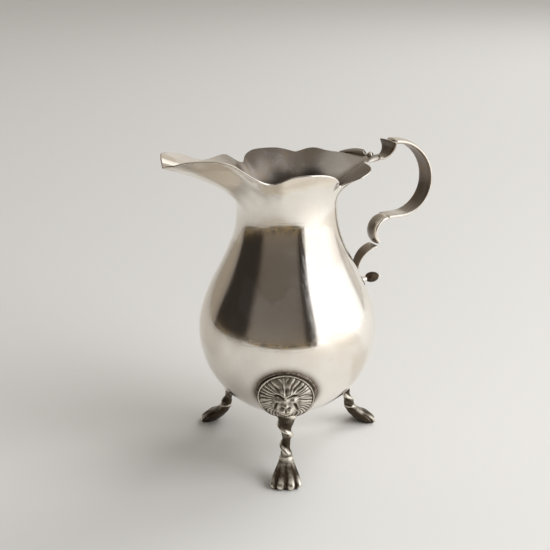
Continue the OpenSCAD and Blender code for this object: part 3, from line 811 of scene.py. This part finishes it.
class Shop:
    """Adds nodes to one tree. node() takes the type, its settings, then its sockets' values or links."""

    def __init__(self, tree):
        self.tree = tree
        tree.nodes.clear()

    def node(self, kind, settings=None, inputs=None, output=0):
        made = self.tree.nodes.new(kind)
        for key, value in (settings or {}).items():
            setattr(made, key, value)
        for key, value in (inputs or {}).items():
            socket = made.inputs[key]
            if isinstance(value, Sock):
                self.tree.links.new(value.link, socket)
            else:
                socket.default_value = value
        return Sock(self, made.outputs[output]) if made.outputs else None

    def blend(self, share, a, b):
        """Colour a where share is 0 and b where it is 1."""
        return self.node("ShaderNodeMix", {"data_type": "RGBA", "clamp_factor": True},
                         {0: share, 6: (*a, 1) if isinstance(a, tuple) else a,
                          7: (*b, 1) if isinstance(b, tuple) else b}, 2)

    def noise(self, where, scale, detail, rough, distortion=0.0):
        """Soft noise, its scale in cells to one unit of where."""
        return self.node("ShaderNodeTexNoise", {}, {"Vector": where, "Scale": scale, "Detail": detail,
                                                    "Roughness": rough, "Distortion": distortion})

    def place(self):
        """The point on the piece, in metres in the model's frame."""
        return self.node("ShaderNodeTexCoord", {}, {}, 3)

    def attribute(self, name):
        """A value that the piece's own points carry, 0 where they carry none."""
        return self.node("ShaderNodeAttribute", {"attribute_name": name}, {}, 2)

    def spread(self, where, rotation, scale):
        """The place turned and stretched."""
        return self.node("ShaderNodeMapping", {}, {"Vector": where, "Rotation": rotation, "Scale": scale})


def material(name):
    """An empty material and the shop that adds its nodes."""
    made = bpy.data.materials.new(name)
    made.use_nodes = True
    return made, Shop(made.node_tree)


def finish_metal(shop, colour, rough, height, strength, distance):
    """A metal from its colour, its roughness and a fine bump, whose distance is in metres."""
    normal = shop.node("ShaderNodeBump", {}, {"Strength": strength, "Distance": distance, "Height": height})
    shader = shop.node("ShaderNodeBsdfPrincipled", {},
                       {"Base Color": colour, "Metallic": 1.0, "Roughness": rough, "Normal": normal})
    shop.node("ShaderNodeOutputMaterial", {}, {"Surface": shader})


def scratches(shop, where, turn, scale):
    """Fine hairlines: noise stretched far along one direction, kept only near its middle value."""
    lines = shop.noise(shop.spread(where, turn, scale), 1.0, 2, 0.5)
    near = (lines - 0.5) * (lines - 0.5)
    return 1 - near.step(0.0, 0.0006)


def polished():
    """Bright silver with hairlines, a faint warm film and soft dents, painted brown shade where the shade
    attribute is high, and a darkening round the masks.
    """
    made, shop = material("polished_silver")
    where = shop.place()
    film = shop.noise(where, 38.0, 4, 0.6)
    fine = shop.noise(where, 420.0, 3, 0.6)
    blotch = shop.noise(where, 210.0, 4, 0.65, 0.6)
    hair = (scratches(shop, where, (0.3, 0.9, 0.2), (2600, 90, 70))
            + scratches(shop, where, (1.2, 0.1, 0.8), (110, 2400, 90))
            + scratches(shop, where, (0.5, -0.7, 2.0), (90, 70, 2200)))
    dents = shop.noise(where, 95.0, 1, 0.4)
    patch = shop.noise(where, 26.0, 3, 0.45, 0.8).step(0.50, 0.57)
    colour = shop.blend(film.step(0.40, 0.70), (0.955, 0.92, 0.862), (0.88, 0.82, 0.735))
    colour = shop.blend(patch * 0.6, colour, (0.70, 0.62, 0.52))
    colour = shop.blend((hair * 0.10).clip(), colour, (0.72, 0.70, 0.67))
    # Darkening round the masks, mottled by the blotch noise.
    ring = shop.attribute("ring")
    ring_dark = (ring * 1.15 + (blotch - 0.5) * ring * 0.9).clip()
    colour = shop.blend(ring_dark, colour, (0.17, 0.125, 0.085))
    # Painted shade: the shade attribute turns the colour a mottled dark brown.
    shade = shop.attribute("shade")
    dull = (shade * (0.92 + (blotch - 0.5) * 0.5)).clip()
    brown = shop.blend(blotch.step(0.40, 0.75), (0.12, 0.095, 0.078), (0.25, 0.19, 0.135))
    colour = shop.blend(dull, colour, brown)
    rough = (0.022 + film.step(0.4, 0.8) * 0.03 + fine.step(0.5, 0.8) * 0.02 + hair * 0.04 + patch * 0.05
             + shade * 0.30 + ring_dark * 0.2)
    finish_metal(shop, colour, rough, dents + hair * -0.03, 0.12, 0.0006)
    return made


def cast():
    """Cast silver, worn bright on what stands out and dark in every hollow, with painted shade on the paws'
    rear halves and an even darkening of the bud.
    """
    made, shop = material("cast_silver")
    where = shop.place()
    deep = shop.attribute("recess")
    grain = shop.noise(where, 900.0, 4, 0.6)
    blotch = shop.noise(where, 300.0, 3, 0.6)
    dark = (deep * 2.3 + (blotch - 0.5) * 1.1 + 0.34).step(-0.10, 0.72)
    colour = shop.blend(dark, (0.84, 0.78, 0.68), (0.072, 0.053, 0.036))
    rough = 0.22 + dark * 0.2 + grain.step(0.45, 0.75) * 0.10
    finish_metal(shop, colour, rough, grain * 0.6 + blotch, 0.35, 0.00012)
    return made


def solder():
    """Dark, dull solder with brown tarnish."""
    made, shop = material("silver_solder")
    where = shop.place()
    blotch = shop.noise(where, 600.0, 4, 0.65)
    colour = shop.blend(blotch.step(0.35, 0.7), (0.10, 0.075, 0.055), (0.42, 0.37, 0.31))
    finish_metal(shop, colour, 0.30 + blotch * 0.25, blotch, 0.5, 0.0002)
    return made


finishes = {"polished_silver": polished(), "cast_silver": cast(), "silver_solder": solder()}
for piece in [o for o in bpy.context.scene.objects if o.type == "MESH" and "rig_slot" in o]:
    piece.data.materials.clear()
    piece.data.materials.append(finishes[piece["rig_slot"]])

# ---- Floor ----


FLOOR_COLOUR = (0.66, 0.653, 0.636, 1)
# The table round the jug, towards the viewer and to the side, and how far the floor goes, in metres.
NEAR, BEHIND, SIDE, FAR = 0.42, -0.25, 0.6, 3


def floor_material():
    """A plain, pale, dull paper."""
    made, shop = material("pale_floor")
    shader = shop.node("ShaderNodeBsdfPrincipled", {},
                       {"Base Color": FLOOR_COLOUR, "Roughness": 0.6, "Specular IOR Level": 0.2})
    shop.node("ShaderNodeOutputMaterial", {}, {"Surface": shader})
    return made


def floor_sheet(name, corners, glossy):
    """A flat sheet from its corners, given as (towards the viewer, to the right) in metres. The
    silver mirrors it only where glossy is true."""
    mesh = bpy.data.meshes.new(name)
    co = [list(toward * f + rightward * r) for f, r in corners]
    mesh.from_pydata(co, [], [list(range(len(co)))])
    mesh.update()
    sheet = bpy.data.objects.new(name, mesh)
    bpy.context.scene.collection.objects.link(sheet)
    sheet.data.materials.append(pale)
    sheet.visible_glossy = glossy


pale = floor_material()
near_left, near_right, rear_left, rear_right = (NEAR, -SIDE), (NEAR, SIDE), (BEHIND, -SIDE), (BEHIND, SIDE)
far_left, far_right, front_left, front_right = (-FAR, -FAR), (-FAR, FAR), (FAR, -FAR), (FAR, FAR)
floor_sheet("table_top", [near_left, near_right, rear_right, far_right, far_left, rear_left], True)
floor_sheet("floor_ahead", [front_left, front_right, far_right, rear_right, near_right, near_left], False)
floor_sheet("floor_left", [front_left, near_left, rear_left, far_left], False)

# ---- Light ----


PLAIN_COLOUR = (0.62, 0.61, 0.595)


def studio_light():
    """A soft studio by direction: a broad bright window on the right, a dim side in front and on the
    left, and a pale wall behind. What the camera sees directly beyond the floor is plain and pale.
    turn is the angle round from the viewer to the right and low the angle over the floor, in degrees."""
    world = bpy.data.worlds.new("studio")
    bpy.context.scene.world = world
    world.use_nodes = True
    shop = Shop(world.node_tree)
    way = shop.node("ShaderNodeTexCoord", {}, {}, 0)
    ahead = shop.node("ShaderNodeVectorMath", {"operation": "DOT_PRODUCT"}, {0: way, 1: tuple(toward)}, 1)
    right = shop.node("ShaderNodeVectorMath", {"operation": "DOT_PRODUCT"}, {0: way, 1: tuple(rightward)}, 1)
    up = shop.node("ShaderNodeSeparateXYZ", {}, {0: way}, 2)
    turn = right.maths("ARCTAN2", right, ahead) * math.degrees(1)
    low = right.maths("ARCSINE", up) * math.degrees(1)
    drift = shop.noise(way, 2.2, 2, 0.5) - 0.5
    turn = turn + drift * 9
    # The ceiling, over the dark side with its dim middle.
    colour = shop.blend(low.step(25, 75), (0.26, 0.235, 0.21), (0.55, 0.53, 0.50))
    dark = turn.step(-110, -103) * (1 - turn.step(34, 39)) * (1 - low.step(38, 60))
    colour = shop.blend(dark, colour, (0.036, 0.031, 0.027))
    centre = turn.step(-58, -46) * (1 - turn.step(19, 25))
    grey = shop.blend(low.step(-10, 30), (0.21, 0.18, 0.148), (0.15, 0.133, 0.117))
    colour = shop.blend(centre * dark, colour, grey)
    # Warm patches low down in the dark.
    shelf = shop.noise(way, 11.0, 2, 0.6)
    warm = shop.blend(shelf.step(0.45, 0.55), (0.05, 0.045, 0.03), (0.30, 0.22, 0.11))
    colour = shop.blend(dark * (1 - low.step(-6, 3)) * 0.8, colour, warm)
    # The window, then the walls behind on the left and on the right.
    window = turn.step(36, 39) * (1 - turn.step(116, 126)) * (1 - low.step(50, 72))
    bright = shop.blend(turn.step(90, 114), (1.5, 1.51, 1.52), (1.15, 1.14, 1.12))
    colour = shop.blend(window, colour, bright)
    wall = (1 - turn.step(-122, -106)) * (1 - low.step(40, 70))
    colour = shop.blend(wall, colour, (0.36, 0.32, 0.27))
    wall = turn.step(118, 130) * (1 - low.step(40, 70))
    colour = shop.blend(wall, colour, (0.68, 0.64, 0.585))
    seen = shop.node("ShaderNodeLightPath", {}, {}, 0)
    colour = shop.blend(seen, colour, PLAIN_COLOUR)
    shader = shop.node("ShaderNodeBackground", {}, {"Color": colour, "Strength": 1.0})
    shop.node("ShaderNodeOutputWorld", {}, {"Surface": shader})


studio_light()
view = bpy.context.scene.view_settings
view.view_transform = "Standard"
view.look = "None"


def soft_lamp(name, right, ahead, height, size, power):
    """A square soft lamp that looks at the jug's foot. The silver doesn't mirror it."""
    lamp = bpy.data.lights.new(name, "AREA")
    lamp.shape = "SQUARE"
    lamp.size = size
    lamp.energy = power
    holder = bpy.data.objects.new(name, lamp)
    bpy.context.scene.collection.objects.link(holder)
    holder.location = rightward * right + toward * ahead + Vector((0, 0, height))
    holder.rotation_mode = "QUATERNION"
    holder.rotation_quaternion = holder.location.to_track_quat("Z", "Y")
    holder.visible_glossy = False


# To the right, towards the viewer, height and size in metres, and power in watts.
soft_lamp("window_lamp", 0.62, 0.16, 0.42, 0.44, 2.7)
soft_lamp("front_lamp", 0.42, 0.36, 0.28, 0.30, 0.8)
soft_lamp("back_lamp", 0.95, -0.95, 1.1, 0.9, 13.0)

# ---- The camera, placed on its aim ----

SENSOR, FOCAL = 36, 68.9
lens = bpy.data.cameras.new("camera")
lens.sensor_width, lens.lens = SENSOR, FOCAL
lens.clip_start, lens.clip_end = 0.02, 20
camera = bpy.data.objects.new("camera", lens)
bpy.context.scene.collection.objects.link(camera)
bpy.context.scene.camera = camera
aim = Vector((AXIS_X * MM, 0, AIM_HEIGHT)) + rightward * AIM_RIGHT
camera.location = aim + back * VIEW_DISTANCE
above = back.cross(rightward)
roll = math.radians(VIEW_ROLL)
tilted_right = rightward * math.cos(roll) + above * math.sin(roll)
tilted_up = back.cross(tilted_right)
camera.rotation_mode = "QUATERNION"
camera.rotation_quaternion = Matrix((tilted_right, tilted_up, back)).transposed().to_quaternion()
